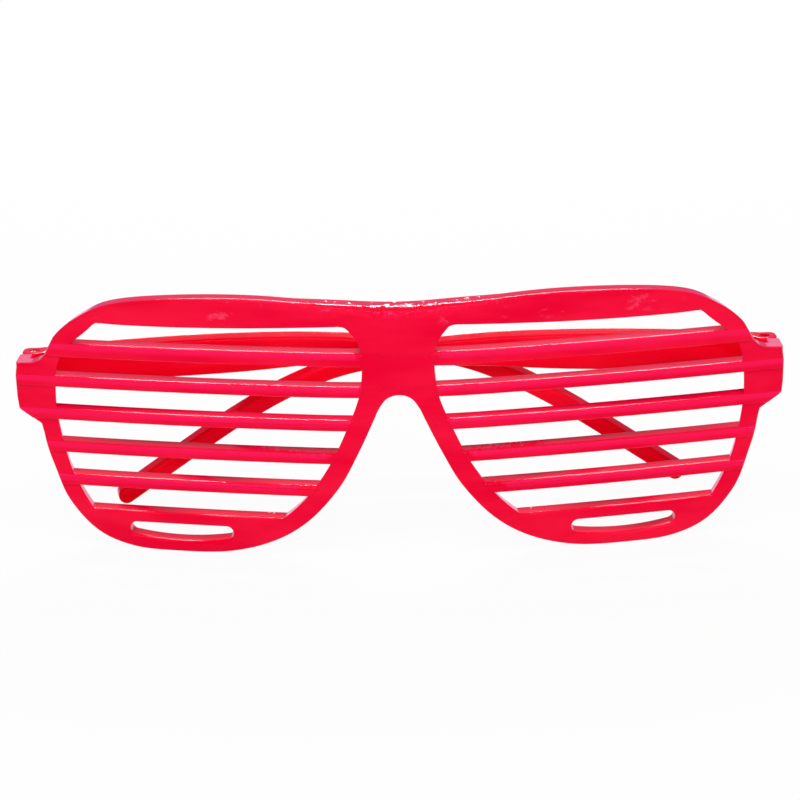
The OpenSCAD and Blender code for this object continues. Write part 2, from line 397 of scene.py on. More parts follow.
def crossings(outline, z):
    """The x of every place where a closed outline crosses the height z."""
    found = []
    for (x0, z0), (x1, z1) in zip(outline, outline[1:] + outline[:1]):
        if (z0 - z) * (z1 - z) < 0:
            found.append(x0 + (x1 - x0) * (z - z0) / (z1 - z0))
    return found


def rim_half():
    """Right-hand half of the rim's outline, from the middle of the brow to the notch."""
    controls = [
        [0, FRONT_H - 1.5],
        [14, FRONT_H - 0.75],
        [29, FRONT_H],
        [RIM_X - 26, FRONT_H - 0.5],
        [RIM_X - 14.8, FRONT_H - 2],
        [RIM_X - 7.8, FRONT_H - 5.2],
        [RIM_X - 3.3, FRONT_H - 9.1],
        [RIM_X - 1.2, FRONT_H - 13.5],
        [RIM_X, 29.5],
        [RIM_X - 0.6, 21.8],
        [RIM_X - 2.2, 16],
        [RIM_X - 4.8, 9.3],
        [RIM_X - 10.2, 3.3],
        [RIM_X - 17.3, 0.5],
        [FOOT_X, 0],
        [FOOT_X - 10.5, 0.5],
        [24.8, 3.1],
        [17.8, 7.6],
        [11.8, 14.5],
        [8.0, NOTCH_TOP - 11.6],
        [4.95, NOTCH_TOP - 5.1],
        [3.9, NOTCH_TOP - 2.8],
        [2.3, NOTCH_TOP - 0.7],
        [0, NOTCH_TOP],
    ]
    loop = smooth_loop(controls + mirrored(controls[1:-1]))
    return loop[: (len(controls) - 1) * CURVE_STEPS + 1]


def end_piece():
    """Outline of the right-hand end piece, with its fillet up to the rim."""
    fillet_centre = (LUG_FILLET_X, LUG_TOP + LUG_FILLET_R)
    return arc(fillet_centre, LUG_FILLET_R, 198, 270, 7) + [
        [HALF_W - 0.4, LUG_TOP],
        [HALF_W, LUG_TOP - 2.6],
        [HALF_W - 0.1, LUG_Z + 2.4],
        [HALF_W - 0.35, LUG_Z + 0.1],
        [RIM_X, LUG_Z - LUG_SLOPE],
    ]


def front_outline():
    """Closed outline of the rims with their end pieces."""
    half = rim_half()
    lug = end_piece()
    outer = [i for i, (x, z) in enumerate(half) if x > FOOT_X]
    above = [p for i, p in enumerate(half) if i < outer[-1] and p[1] > lug[0][1] + 2.2]
    below = [p for i, p in enumerate(half) if i > outer[0] and p not in above]
    below = [p for p in below if p[1] < lug[-1][1] - 1.2 or p[0] < FOOT_X]
    right = above + lug + below
    return right + mirrored(right[1:-1])


def lens_opening():
    """Closed outline of the right-hand lens opening, slats left out."""
    return smooth_loop(
        [
            [WEB_X + 4, BROW_Z + 0.83],
            [WEB_X + 5.5, BROW_Z + 0.8],
            [21, BROW_Z + 0.45],
            [31, BROW_Z + 0.1],
            [RIM_X - 27, BROW_Z - 0.1],
            [RIM_X - 17, BROW_Z - 0.05],
            [RIM_X - 13, BROW_Z + 0.1],
            [RIM_X - 11.9, BROW_Z - 0.1],
            [RIM_X - 10.2, BROW_Z - 1.6],
            [SIDE_RIM_X - 3.6, FRONT_H - 10.3],
            [SIDE_RIM_X - 1.4, FRONT_H - 12.9],
            [SIDE_RIM_X - 0.4, FRONT_H - 16.8],
            [SIDE_RIM_X - 0.2, 28],
            [SIDE_RIM_X - 1.1, 21.4],
            [SIDE_RIM_X - 2.9, 14.6],
            [SIDE_RIM_X - 6.6, 7.5],
            [SIDE_RIM_X - 10.4, 4.2],
            [FOOT_X, 2.4],
            [30, 4],
            [23.4, 7.5],
            [17.9, 12.7],
            [13.3, 19.5],
            [9.7, 27.2],
            [WEB_X + 0.7, NOTCH_TOP - 0.4],
            [WEB_X, NOTCH_TOP + 4],
            [WEB_X, BROW_Z - 4.6],
            [WEB_X + 0.8, BROW_Z - 2.1],
            [WEB_X + 1.9, BROW_Z - 0.5],
            [WEB_X + 2.9, BROW_Z + 0.55],
        ]
    )


def drain_slot():
    """Closed outline of the right-hand drain slot, straight above and bellied below."""
    r = SLOT_END_H / 2
    reach = SLOT_HALF_L - r
    middle = SLOT_TOP - r
    belly_r = (reach**2 + SLOT_BELLY**2) / (2 * SLOT_BELLY)
    spread = math.degrees(math.asin(reach / belly_r))
    belly_centre = (SLOT_MID_X, middle - r - SLOT_BELLY + belly_r)
    return (
        arc((SLOT_MID_X + reach, middle), r, 90, -80, 10)
        + arc(belly_centre, belly_r, 270 + spread, 270 - spread, 14)
        + arc((SLOT_MID_X - reach, middle), r, 260, 90, 10)
    )


def front_face(x):
    """How far the front face lies behind its foremost point, and how much thicker the
    front is there from front to back than it is straight through."""
    x = abs(x)
    if x <= BRIDGE_CURVE_HALF_W:
        lean = math.asin(x / BRIDGE_R)
        return BRIDGE_R * (1 - math.cos(lean)), 1 / math.cos(lean)
    lean = math.asin(BRIDGE_CURVE_HALF_W / BRIDGE_R)
    bridge_y = BRIDGE_R * (1 - math.cos(lean))
    centre_x = BRIDGE_CURVE_HALF_W - LENS_R * math.sin(lean)
    centre_y = bridge_y + LENS_R * math.cos(lean)
    lean = math.asin((x - centre_x) / LENS_R)
    return centre_y - LENS_R * math.cos(lean), 1 / math.cos(lean)


def prism(outline, near, far, holes=()):
    """Solid between two depths with an upright outline and holes, as a bmesh."""
    bm = bmesh.new()
    edges = []
    for loop in (outline, *holes):
        verts = [bm.verts.new((x, near, z)) for x, z in loop]
        edges += [bm.edges.new(pair) for pair in zip(verts, verts[1:] + verts[:1])]
    bmesh.ops.triangle_fill(bm, use_beauty=True, edges=edges, normal=(0, -1, 0))
    back = bmesh.ops.extrude_face_region(bm, geom=bm.faces[:])["geom"]
    verts = [item for item in back if isinstance(item, bmesh.types.BMVert)]
    bmesh.ops.translate(bm, verts=verts, vec=(0, far - near, 0))
    bmesh.ops.recalc_face_normals(bm, faces=bm.faces[:])
    return bm


def fuller_at_bridge(radius_of, gain):
    """The radius of each edge, with a gain along the upper edge at the middle."""
    reach = 1.2 * BRIDGE_CURVE_HALF_W

    def radius(edge):
        middle = sum((vert.co for vert in edge.verts), Vector()) / 2
        lit = in_front(edge) and middle.z > BROW_Z + 3 and upward(edge) > 0.5
        return radius_of(edge) + (eased(gain, clamped(1 - abs(middle.x) / reach)) if lit else 0)

    return radius


def nose_draft(x, z):
    """How far the back of a nose rim is drawn in beside a lens opening."""
    if x >= NOSE_RIM_X:
        return 0.0
    return DRAFT * clamped((NOTCH_TOP + DRAFT_FADE - z) / DRAFT_FADE)


def shoulder_draft(outline, z):
    """How far the back of the outer rim is drawn in, at a height above the end piece."""
    reach = 0.2
    if not LUG_TOP + reach < z < FRONT_H - 1:
        return 0.0
    above, below = (max(crossings(outline, z + side * reach)) for side in (1, -1))
    steep = 1 / math.hypot(1, (above - below) / (2 * reach))
    rise = min((z - LUG_TOP) / 2, 1)
    return DRAFT * rise * clamped((steep - 0.3) / 0.3)


def widened(bm, hole):
    """Widens a hole of the plate, and its mirror image, towards the back."""
    points = {(round(abs(x), 3), round(z, 3)) for x, z in hole}
    for vert in bm.verts:
        x, z = abs(vert.co.x), vert.co.z
        if vert.co.y == FRONT_DEPTH and (round(x, 3), round(z, 3)) in points:
            share = clamped((x - DRAFT_FROM_X) / (SIDE_RIM_X - DRAFT_FROM_X))
            shift = DRAFT * share - nose_draft(x, z)
            vert.co.x += shift if vert.co.x > 0 else -shift


def shouldered(bm, outline):
    """Draws in the back of the plate along the outer rims above the end pieces."""
    for vert in bm.verts:
        if vert.co.y == FRONT_DEPTH and abs(vert.co.x) > FOOT_X:
            edge = max(crossings(outline, vert.co.z + 1e-5), default=0.0)
            if abs(abs(vert.co.x) - edge) < 0.05:
                draft = shoulder_draft(outline, vert.co.z)
                vert.co.x -= math.copysign(draft, vert.co.x)


def lying_prism(outline, low, high):
    """Solid between two heights with an outline that lies flat, as a bmesh."""
    bm = prism(outline, low, high)
    swap = Matrix(((1, 0, 0), (0, 0, 1), (0, 1, 0)))
    bmesh.ops.transform(bm, verts=bm.verts[:], matrix=swap.to_4x4())
    bmesh.ops.reverse_faces(bm, faces=bm.faces[:])
    return bm


def cylinder(radius, low, high):
    """Upright cylinder on the z axis between two heights, as a bmesh."""
    bm = bmesh.new()
    bmesh.ops.create_cone(
        bm,
        cap_ends=True,
        segments=CYLINDER_SEGMENTS,
        radius1=radius,
        radius2=radius,
        depth=high - low,
        matrix=Matrix.Translation((0, 0, (low + high) / 2)),
    )
    return bm


def turns_outward(edge):
    """Whether an edge stands out and turns by enough to be rounded."""
    return edge.is_convex and edge.calc_face_angle(0) > math.radians(ROUNDED_ANGLE)


def round_edges(bm, radius, steps, chosen):
    """Rounds the outward edges that chosen picks by their two ends."""
    bmesh.ops.bevel(
        bm,
        geom=[edge for edge in bm.edges if turns_outward(edge) and chosen(*edge.verts)],
        offset=radius,
        offset_type="OFFSET",
        segments=steps,
        profile=0.5,
        affect="EDGES",
        clamp_overlap=False,
        loop_slide=False,
        material=-1,
    )


def level_edge(a, b):
    """Whether the ends of an edge are at one height."""
    return a.co.z == b.co.z


def upward(edge):
    """How far the wall beside an edge looks up, from -1 to 1."""
    return min(edge.link_faces, key=lambda face: abs(face.normal.y)).normal.z


def softened(bm, radius_of, steps):
    """The shape with its outward edges rounded, each by its own radius, as a new bmesh."""
    bm.normal_update()
    weight = bm.edges.layers.float.new("bevel_weight_edge")
    radii = {edge: radius_of(edge) for edge in bm.edges if turns_outward(edge)}
    widest = max(radii.values())
    for edge, radius in radii.items():
        edge[weight] = radius / widest
    piece = to_object(bm, "softened")
    modifier = piece.modifiers.new("round", "BEVEL")
    modifier.limit_method = "WEIGHT"
    modifier.width = widest
    modifier.segments = steps
    modifier.profile = 0.5
    modifier.use_clamp_overlap = False
    modifier.loop_slide = False
    graph = bpy.context.evaluated_depsgraph_get()
    mesh = bpy.data.meshes.new_from_object(piece.evaluated_get(graph))
    result = bmesh.new()
    result.from_mesh(mesh)
    result.edges.layers.float.remove(result.edges.layers.float["bevel_weight_edge"])
    bpy.data.objects.remove(piece)
    bpy.data.meshes.remove(mesh)
    return result


def lit_edge(full, crisp, chosen):
    """Radius for softened: full on chosen edges whose wall looks up, crisp on the rest."""

    def radius(edge):
        share = clamped((upward(edge) + 0.2) / 0.7) if chosen(edge) else 0
        return crisp + eased(full - crisp, share)

    return radius


def to_object(bm, name):
    """Object that holds a bmesh, which is freed."""
    mesh = bpy.data.meshes.new(name)
    bm.to_mesh(mesh)
    bm.free()
    piece = bpy.data.objects.new(name, mesh)
    bpy.context.scene.collection.objects.link(piece)
    return piece


def joined(shapes):
    """One bmesh that holds several, which are freed."""
    whole = bmesh.new()
    for bm in shapes:
        part = bpy.data.meshes.new("part")
        bm.to_mesh(part)
        bm.free()
        whole.from_mesh(part)
        bpy.data.meshes.remove(part)
    return whole


def volume(mesh):
    """Volume inside a closed mesh, in its own units."""
    bm = bmesh.new()
    bm.from_mesh(mesh)
    inside = bm.calc_volume()
    bm.free()
    return inside


def fused(piece, bm, operation="UNION"):
    """Adds a closed bmesh to a piece, or cuts it from it."""
    before = volume(piece.data)
    tool = to_object(bm, "tool")
    modifier = piece.modifiers.new("fuse", "BOOLEAN")
    modifier.operation = operation
    modifier.solver = "EXACT"
    modifier.object = tool
    graph = bpy.context.evaluated_depsgraph_get()
    mesh = bpy.data.meshes.new_from_object(piece.evaluated_get(graph))
    piece.modifiers.clear()
    piece.data = mesh
    bpy.data.objects.remove(tool)
    after = volume(mesh)
    if after < (before if operation == "UNION" else before / 2):
        raise RuntimeError(f"{piece.name} lost a part of itself")


def reshaped(piece, *changes):
    """Puts the mesh of a piece through changes, which each take a bmesh."""
    bm = bmesh.new()
    bm.from_mesh(piece.data)
    for change in changes:
        change(bm)
    bm.to_mesh(piece.data)
    bm.free()


def to_metres(bm):
    """Brings a shape drawn in millimetres to metres, in the frame's place."""
    bmesh.ops.translate(bm, verts=bm.verts[:], vec=(0, -ORIGIN_DEPTH, 0))
    bmesh.ops.scale(bm, verts=bm.verts[:], vec=(MM, MM, MM))


def finished(piece, body, node, finish):
    """Shades a piece, puts its finish on, and lets it ride in place of its node."""
    mesh = piece.data
    mesh.shade_smooth()
    mesh.set_sharp_from_angle(angle=math.radians(SHARP_ANGLE))
    mesh.materials.clear()
    mesh.materials.append(finish)
    weighted = piece.modifiers.new("flat faces stay flat", "WEIGHTED_NORMAL")
    weighted.keep_sharp = True
    weighted.weight = 80
    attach(piece, body)
    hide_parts(node)


def slat_heights():
    """Lowest and highest height of each slat, from the bottom up."""
    heights = []
    for i in range(SLAT_COUNT):
        top = SLAT_Z + i * SLAT_PITCH + SLAT_H
        height = TOP_SLAT_H if i == SLAT_COUNT - 1 else SLAT_H
        heights.append((top - height, top))
    return heights


def strip(low, high, outline, opening, settings):
    """Slat, which starts at the nose rim and runs on over the outer rim."""
    spans = 3
    samples = [low + (high - low) * i / spans for i in range(spans + 1)]
    inner = [[min(crossings(opening, z)) - SLAT_END_IN, z] for z in samples]
    outer = [[max(crossings(outline, z)) - SLAT_END_OUT, z] for z in reversed(samples)]
    bm = prism(inner + outer, 0, FRONT_DEPTH - SLAT_BACK_GAP)
    for vert in bm.verts:
        if vert.co.y > FRONT_DEPTH / 2:
            outside = vert.co.x > FOOT_X
            z = vert.co.z
            vert.co.x -= shoulder_draft(outline, z) if outside else nose_draft(0, z)
    radius = lit_edge(
        settings.slat_round / MM,
        settings.crisp_round / MM,
        lambda edge: max(vert.co.y for vert in edge.verts) == 0,
    )
    return softened(bm, radius, settings.round_steps)


def on_both_sides(shapes):
    """The shapes with their mirror images, as one bmesh."""
    right = joined(shapes)
    left = right.copy()
    bmesh.ops.scale(left, verts=left.verts[:], vec=(-1, 1, 1))
    bmesh.ops.reverse_faces(left, faces=left.faces[:])
    return joined([right, left])


def bridge_pad(opening, settings):
    """Pad that thickens the bridge, flush with the brow and the web."""
    top = [p for p in rim_half() if p[0] < BRIDGE_HALF_W and p[1] > NOTCH_TOP + 1]
    edge = [p for p in opening if p[0] < BRIDGE_HALF_W and p[1] > NOTCH_TOP]
    under = sorted((p for p in edge if p[0] > CORNER_X), key=lambda p: -p[0])
    web = sorted((p for p in edge if p[0] <= CORNER_X), key=lambda p: -p[1])
    right = (
        [[x, z - PAD_INSET] for x, z in top]
        + [[BRIDGE_HALF_W, top[-1][1] - PAD_INSET], [BRIDGE_HALF_W, under[0][1] + PAD_INSET]]
        + [[x, z + PAD_INSET] for x, z in under]
        + [[x - PAD_INSET, z] for x, z in web]
        + [[web[-1][0] - PAD_INSET, NOTCH_TOP + 0.05]]
    )
    outline = right + mirrored(right[1:])
    bm = prism(outline, FRONT_DEPTH - 1, BRIDGE_DEPTH)
    round_edges(
        bm,
        settings.crisp_round / MM,
        settings.round_steps,
        lambda a, b: min(a.co.y, b.co.y) > BRIDGE_DEPTH - SLACK,
    )
    return bm


def arm(settings):
    """Right-hand arm that runs back from the end piece to the hinge."""
    out = HALF_W - ARM_INSET
    outline = [
        [HALF_W - ARM_T, LUG_Z + ARM_INSET],
        [out - 0.3, LUG_Z + ARM_INSET],
        [out, LUG_Z + 2.4],
        [out, LUG_TOP - ARM_INSET],
        [HALF_W - ARM_T, LUG_TOP - ARM_INSET],
    ]
    bm = prism(outline, ARM_START, arm_length())
    round_edges(bm, 2 * settings.crisp_round / MM, settings.round_steps, lambda a, b: True)
    return bm


def arm_length():
    """Where an arm ends while the front is still flat."""
    face, stretch = front_face(HALF_W - ARM_T / 2)
    return ARM_END - face - FRONT_DEPTH * stretch + FRONT_DEPTH


def curved(bm, settings):
    """Bends the flat front on its curve, with the back of the bridge and the ends of
    the arms left square."""
    columns = int(2 * HALF_W * MM / settings.column_width)
    for i in range(1, columns):
        bmesh.ops.bisect_plane(
            bm,
            geom=bm.verts[:] + bm.edges[:] + bm.faces[:],
            dist=SLACK,
            plane_co=(2 * HALF_W * i / columns - HALF_W, 0, 0),
            plane_no=(1, 0, 0),
        )
    for vert in bm.verts:
        face, stretch = front_face(vert.co.x)
        depth = vert.co.y
        vert.co.y = face + min(depth, FRONT_DEPTH) * stretch
        if depth > FRONT_DEPTH:
            at_bridge = abs(vert.co.x) < BRIDGE_HALF_W + 1
            flat, square = (BRIDGE_DEPTH,) * 2 if at_bridge else (arm_length(), ARM_END)
            share = (depth - FRONT_DEPTH) / (flat - FRONT_DEPTH)
            vert.co.y += share * (square - vert.co.y)


def tongue():
    """Right-hand hinge tongue, round about the pin and square where it meets the arm."""
    root = ARM_END - 1 - HINGE_DEPTH
    outline = (
        arc((0, 0), TONGUE_R, 0, 180, 24)[:-1]
        + [[-TONGUE_R, 0.0]]
        + arc((0, 0), TONGUE_R, 190, 270, 8)
        + [[0, root], [TONGUE_R, root]]
    )
    bm = lying_prism(outline, HINGE_Z - TONGUE_H / 2, HINGE_Z + TONGUE_H / 2)
    bmesh.ops.translate(bm, verts=bm.verts[:], vec=(HINGE_X, HINGE_DEPTH, 0))
    return bm


def in_front(edge):
    """Whether an edge of the plate lies in its front face."""
    return max(vert.co.y for vert in edge.verts) < SLAT_RELIEF + SLACK


def beside_nose(edge):
    """Whether an edge of the plate lies at the nose rims, below the brow."""
    ends = (vert.co for vert in edge.verts)
    return all(abs(end.x) < NOSE_RIM_X and end.z < BROW_Z - 1 for end in ends)


class GLASSES_OT_front(bpy.types.Operator):
    """Make the moulded front with its rims, slats, end pieces and hinge tongues"""

    bl_idname = "glasses.front"
    bl_label = "Front"

    def execute(self, context):
        settings = context.scene.glasses_front
        outline = front_outline()
        opening = lens_opening()
        right_holes = [above_panel(opening), drain_slot()]
        holes = right_holes + [mirrored(hole) for hole in right_holes]
        plate = prism(outline, SLAT_RELIEF, FRONT_DEPTH, holes)
        widened(plate, above_panel(opening))
        shouldered(plate, outline)
        radius = lit_edge(
            settings.rim_round / MM,
            settings.crisp_round / MM,
            lambda edge: in_front(edge) and not beside_nose(edge),
        )
        radius = fuller_at_bridge(radius, settings.bridge_round / MM)
        front = to_object(softened(plate, radius, settings.round_steps), "front_moulding")
        slats = [strip(*z, outline, opening, settings) for z in slat_heights()]
        fused(front, on_both_sides(slats))
        fused(front, bridge_pad(opening, settings))
        fused(front, on_both_sides([arm(settings)]))
        reshaped(front, lambda bm: curved(bm, settings))
        fused(front, on_both_sides([tongue()]))
        bores = cylinder(TONGUE_BORE_R, LUG_Z, LUG_TOP)
        bmesh.ops.translate(bores, verts=bores.verts[:], vec=(HINGE_X, HINGE_DEPTH, 0))
        fused(front, on_both_sides([bores]), "DIFFERENCE")
        reshaped(front, to_metres)
        colour = context.scene.glasses_finish.front_colour
        finish = moulded_plastic("front plastic", colour, FRONT_TINT, slatted=True)
        finished(front, "front", "front_frame", finish)
        return {"FINISHED"}


def above_panel(opening):
    """The part of a lens opening above the solid panel."""
    kept = []
    for (x0, z0), (x1, z1) in zip(opening, opening[1:] + opening[:1]):
        if z0 > PANEL_TOP:
            kept.append([x0, z0])
        if (z0 - PANEL_TOP) * (z1 - PANEL_TOP) < 0:
            kept.append([x0 + (x1 - x0) * (PANEL_TOP - z0) / (z1 - z0), PANEL_TOP])
    return kept


def temple_line():
    """Middle line of a temple: distance from the pin, height below the knuckle's top,
    and half the temple's height."""
    reach = TEMPLE_L - TIP_R
    level = -1.15
    fall = level + TEMPLE_DROP - TIP_R

    def hook(back, share, half=TIP_R):
        return [reach - back, level - share * fall, half]

    return smooth_line(
        [
            [0, -KNUCKLE_H / 2, KNUCKLE_H / 2],
            [20, -2.35, 3.9],
            [40, -1.5, 3.8],
            [58, level + 0.25, 3.0],
            hook(52.6, 0.015, 2.15),
            hook(42.6, 0.085, 1.85),
            hook(32.6, 0.23),
            hook(22.6, 0.435),
            hook(12.6, 0.68),
            hook(0, 1),
        ]
    )


def temple_outline(step=0.0):
    """Closed outline of a temple seen from the side, with its upper edge let in a step."""
    line = temple_line()
    upper, lower = [], []
    for i, (s, z, half) in enumerate(line):
        before, after = line[max(i - 1, 0)], line[min(i + 1, len(line) - 1)]
        along = Vector((1, 0)) if i == 0 else Vector((after[0] - before[0], after[1] - before[1]))
        across = Vector((-along.y, along.x)).normalized() * half
        inset = (half - step) / half
        upper.append([s + across.x * inset, z + across.y * inset])
        lower.append([s - across.x, z - across.y])
    turn = math.degrees(math.atan2(across.y, across.x))
    tip = arc(line[-1][:2], TIP_R, turn, turn - 180, 16)
    middle = Vector(line[-1][:2])
    for i, point in enumerate(tip):
        inset = 1 - step / TIP_R * (1 + math.cos(math.pi * i / 16)) / 2
        tip[i] = list(middle + inset * (Vector(point) - middle))
    return upper[:-1] + tip + lower[-2::-1]


def knuckle_outline():
    """Outline of a knuckle seen from above, with the heel that stops the open temple."""
    inner = KNUCKLE_R - TEMPLE_T
    meets = math.degrees(math.asin(-inner / KNUCKLE_R))
    end = FORK_R + 0.7
    return (
        [[end, KNUCKLE_R]]
        + arc((HEEL_R - KNUCKLE_R, KNUCKLE_R - HEEL_R), HEEL_R, 90, 180, 6)
        + arc((0, 0), KNUCKLE_R, 180, 360 - meets, 30)
        + [[end, inner]]
    )


def temple(name, settings):
    """Temple with its pin on the z axis, folded along +X, its knuckle's top at z = 0."""
    inner = KNUCKLE_R - TEMPLE_T
    outline = temple_outline()
    let_in = temple_outline(TOP_FALL)
    bar = prism(outline, inner, KNUCKLE_R)
    for vert in bar.verts:
        if vert.co.y < inner + SLACK:
            at = Vector((vert.co.x, vert.co.z))
            nearest = min(range(len(outline)), key=lambda i: (Vector(outline[i]) - at).length)
            vert.co.x, vert.co.z = let_in[nearest]
    radius = lit_edge(
        settings.inner_round / MM,
        settings.outer_round / MM,
        lambda edge: max(vert.co.y for vert in edge.verts) < inner + SLACK,
    )
    piece = to_object(softened(bar, radius, BAR_ROUND_STEPS), name)
    knuckle = lying_prism(knuckle_outline(), -KNUCKLE_H, 0)
    round_edges(knuckle, settings.knuckle_round / MM, SMALL_ROUND_STEPS, level_edge)
    fused(piece, knuckle)
    fork_low = -KNUCKLE_H / 2 - TONGUE_H / 2 - LEAF_CLEARANCE
    fork = cylinder(FORK_R, fork_low, -KNUCKLE_H - fork_low)
    fused(piece, fork, "DIFFERENCE")
    fused(piece, cylinder(LEAF_BORE_R, -KNUCKLE_H - 1, 1), "DIFFERENCE")
    return piece


def at_hinge(piece, side, fold):
    """Puts a piece that is drawn about its pin into its place at a hinge."""
    place = (side * HINGE_X, HINGE_DEPTH, KNUCKLE_TOP)

    def placed(bm):
        if side > 0:
            bmesh.ops.scale(bm, verts=bm.verts[:], vec=(-1, 1, 1))
            bmesh.ops.reverse_faces(bm, faces=bm.faces[:])
        bmesh.ops.rotate(bm, verts=bm.verts[:], matrix=Matrix.Rotation(side * fold, 3, "Z"))
        bmesh.ops.translate(bm, verts=bm.verts[:], vec=place)

    reshaped(piece, placed, to_metres)


class GLASSES_OT_temples(bpy.types.Operator):
    """Make the two temples, folded behind the front"""

    bl_idname = "glasses.temples"
    bl_label = "Temples"

    def execute(self, context):
        settings = context.scene.glasses_temples
        colour = context.scene.glasses_finish.temple_colour
        finish = moulded_plastic("temple plastic", colour, TEMPLE_TINT)
        for name, side, fold in (("left", 1, LEFT_FOLD), ("right", -1, RIGHT_FOLD)):
            piece = temple(f"{name}_temple_moulding", settings)
            at_hinge(piece, side, fold)
            finished(piece, f"temple_{name}", f"{name}_temple", finish)
        return {"FINISHED"}


class GLASSES_OT_pins(bpy.types.Operator):
    """Make the two steel hinge pins"""

    bl_idname = "glasses.pins"
    bl_label = "Hinge Pins"

    def execute(self, context):
        dimple = context.scene.glasses_temples.pin_dimple / MM
        finish = cut_steel("pin steel", context.scene.glasses_finish.steel_colour)
        for name, side, sink in (("left", 1, LEFT_PIN_SINK), ("right", -1, RIGHT_PIN_SINK)):
            bm = cylinder(PIN_R, -sink - PIN_L, -sink)
            ends = [face for face in bm.faces if len(face.verts) > 4]
            bmesh.ops.inset_region(bm, faces=ends, thickness=PIN_LAND, depth=0)
            slopes = bmesh.ops.inset_region(bm, faces=ends, thickness=DIMPLE_SLOPE, depth=-dimple)
            if not slopes["faces"]:
                raise RuntimeError("the dimples in the pins weren't made")
            round_edges(bm, PIN_ROUND, SMALL_ROUND_STEPS, level_edge)
            piece = to_object(bm, f"{name}_pin_steel")
            at_hinge(piece, side, 0.0)
            finished(piece, f"temple_{name}", f"{name}_hinge_pin", finish)
        return {"FINISHED"}


class Wire:
    """A socket that carries a number, so that shader maths reads as an expression."""

    def __init__(self, shader, socket):
        self.shader = shader
        self.socket = socket

    def _math(self, operation, *operands):
        node = self.shader.node("ShaderNodeMath", {"operation": operation}, operands)
        return Wire(self.shader, node.outputs[0])

    def __add__(self, other):
        return self._math("ADD", self, other)

    def __sub__(self, other):
        return self._math("SUBTRACT", self, other)

    def __rsub__(self, other):
        return self._math("SUBTRACT", other, self)

    def __mul__(self, other):
        return self._math("MULTIPLY", self, other)

    __radd__ = __add__
    __rmul__ = __mul__

    def __abs__(self):
        return self._math("ABSOLUTE", self)

    def fraction(self):
        """The part of the number after the point."""
        return self._math("FRACT", self)

    def fading(self, start, end, least=0.0):
        """1 up to start, and least from end on."""
        return self.between(start, end, 1.0, least)

    def window(self, start, full, fade, end):
        """1 from full to fade, and 0 outside start to end."""
        return self.between(start, full) * self.fading(fade, end)

    def between(self, low, high, to_low=0.0, to_high=1.0):
        """The number, taken from one range to another and kept inside it."""
        settings = {"interpolation_type": "SMOOTHSTEP"}
        inputs = (self, low, high, to_low, to_high)
        node = self.shader.node("ShaderNodeMapRange", settings, inputs)
        return Wire(self.shader, node.outputs[0])


class Shader:
    """A new material and the means to add nodes to it."""

    def __init__(self, name):
        self.material = bpy.data.materials.new(name)
        self.material.use_nodes = True
        self.tree = self.material.node_tree
        self.tree.nodes.clear()

    def node(self, kind, settings=None, inputs=()):
        """Adds a node. Its settings are set first, then its sockets, by place or by name."""
        node = self.tree.nodes.new(kind)
        for name, value in (settings or {}).items():
            setattr(node, name, value)
        pairs = inputs.items() if isinstance(inputs, dict) else enumerate(inputs)
        for key, value in pairs:
            if isinstance(value, Wire):
                value = value.socket
            if isinstance(value, bpy.types.NodeSocket):
                self.tree.links.new(value, node.inputs[key])
            elif value is not None:
                node.inputs[key].default_value = value
        return node

    def position(self, stretch=(1, 1, 1)):
        """Place on the object in metres, as a vector socket."""
        coordinates = self.node("ShaderNodeTexCoord").outputs["Object"]
        inputs = {"Vector": coordinates, "Scale": stretch}
        return self.node("ShaderNodeMapping", {}, inputs).outputs[0]

    def noise(self, stretch, size, detail=2.0, roughness=0.5):
        """Noise from 0 to 1 with features of a size in metres, longer where stretch is less."""
        place = self.position(stretch)
        inputs = {"Vector": place, "Scale": 1 / size, "Detail": detail, "Roughness": roughness}
        return Wire(self, self.node("ShaderNodeTexNoise", {}, inputs).outputs[0])

    def mixed(self, share, first, second):
        """Colour between two, by a share from 0 to 1."""
        inputs = {0: share, 6: first, 7: second}
        return self.node("ShaderNodeMix", {"data_type": "RGBA"}, inputs).outputs[2]

    def bump(self, height, distance, normal=None):
        """Normal that follows a height from 0 to 1, over a distance in metres."""
        inputs = {"Height": height, "Distance": distance, "Normal": normal}
        return self.node("ShaderNodeBump", {}, inputs).outputs[0]

    def surface(self, inputs):
        """Ends the material in a shader with these sockets."""
        principled = self.node("ShaderNodeBsdfPrincipled", {}, inputs)
        self.node("ShaderNodeOutputMaterial", {}, {"Surface": principled.outputs[0]})
        return self.material


def slat_step(z):
    """Share of the way from the top of one slat to the top of the next."""
    return ((z - (SLAT_Z + SLAT_H) * MM) * (1 / SLAT_PITCH / MM)).fraction()


def painted_slat_highlight(x, z):
    """Share of the painted highlight on the upper half of each slat, from the nose rim out."""
    band = slat_step(z).window(*SLAT_HIGHLIGHT_PAINT_STEPS)
    below_bridge = NOSE_CURVE_TOP - z
    nose_rim = below_bridge * below_bridge * NOSE_CURVE + WEB_X * MM
    return band * z.window(*SLAT_HIGHLIGHT_PAINT_ROWS) * (abs(x) - nose_rim).between(*SLAT_HIGHLIGHT_PAINT_EDGE)


def upper_edges(x, y, z):
    """Share of the zone along the upper front edges of the slats and the brow."""
    slats = slat_step(z).between(*EDGE_STEPS) * z.fading(*EDGE_ROWS_END)
    brow_top = abs(x).between(0.0, 0.03, BROW_DIP * MM, FRONT_H * MM)
    brow = (z - brow_top).between(*BROW_EDGE)
    return (slats + brow) * (y - abs(x) * FACE_SLANT).fading(*FACE_END)


def painted_arm_top_reflection(x, y, z):
    """Share of the painted reflection on the pale tops of the arms."""
    face = front_face(HALF_W)[0] - ORIGIN_DEPTH
    tops = z.between((LUG_TOP - 0.3) * MM, (LUG_TOP - 0.15) * MM)
    behind_face = y.between((face + 0.2) * MM, (face + 0.9) * MM)
    return tops * (abs(x).between(*ARM_TOP_REFLECTION_X) * behind_face)


